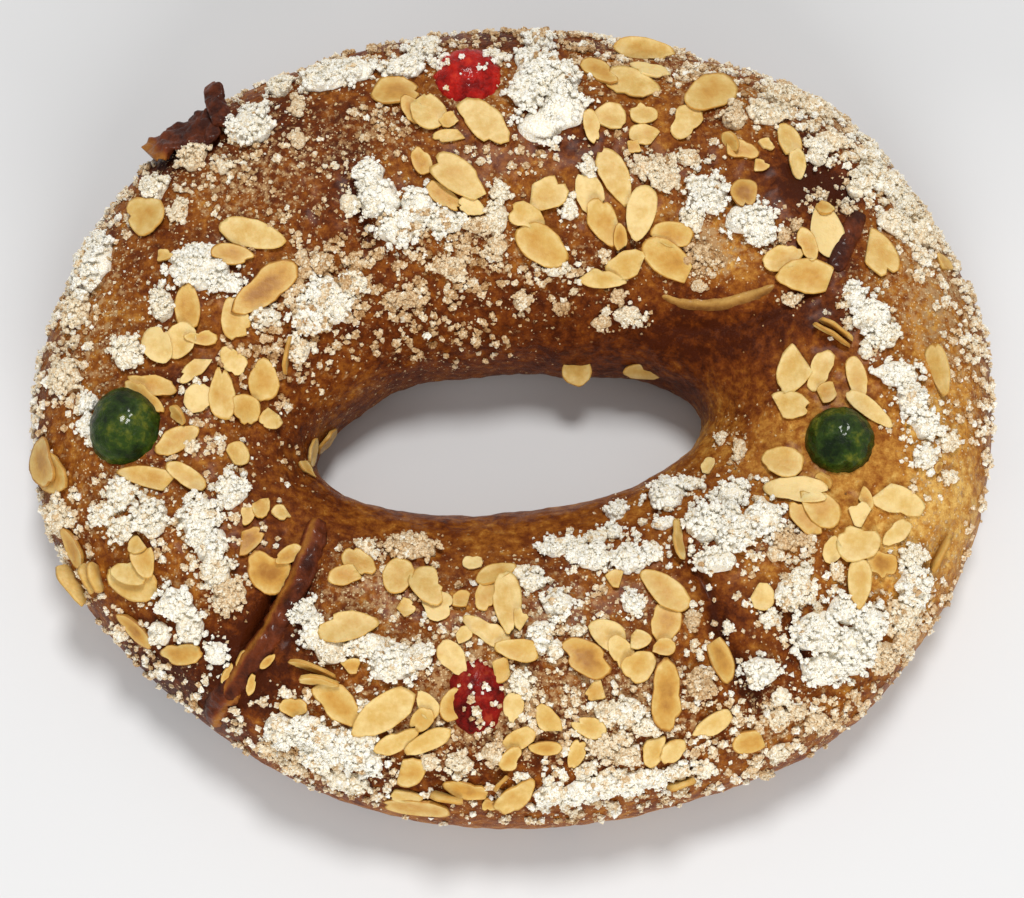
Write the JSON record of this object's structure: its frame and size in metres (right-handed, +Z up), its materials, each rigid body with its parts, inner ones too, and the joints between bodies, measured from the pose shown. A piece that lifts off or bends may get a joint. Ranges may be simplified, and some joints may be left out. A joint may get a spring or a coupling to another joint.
{
  "type": "three kings cake",
  "caption": "Oval ring of sweet bread with sliced almonds, clumps of damp sugar, candied cherries and strips of candied peel on its crust.",
  "frame": {"origin": "Centre of the bounding box, on the flat base that the ring stands on.", "axes": "+X along the oval's length, +Y to its far side in the picture, +Z up."},
  "size_m": [0.2999, 0.254, 0.058],
  "materials": {
    "crust": "baked and glazed dough with almonds and sugar",
    "green_fruit": "syrupy candied cherry",
    "red_fruit": "syrupy candied cherry",
    "dark_peel": "dark candied peel",
    "amber_peel": "amber candied rind"
  },
  "bodies": {
    "root": {"bread": "crust", "cherry_green_left": "green_fruit", "cherry_green_right": "green_fruit", "cherry_red_far": "red_fruit", "cherry_red_near": "red_fruit", "peel_rim": "dark_peel", "peel_fold": "dark_peel", "peel_curved": "amber_peel", "peel_dark": "dark_peel"}
  },
  "joints": []
}
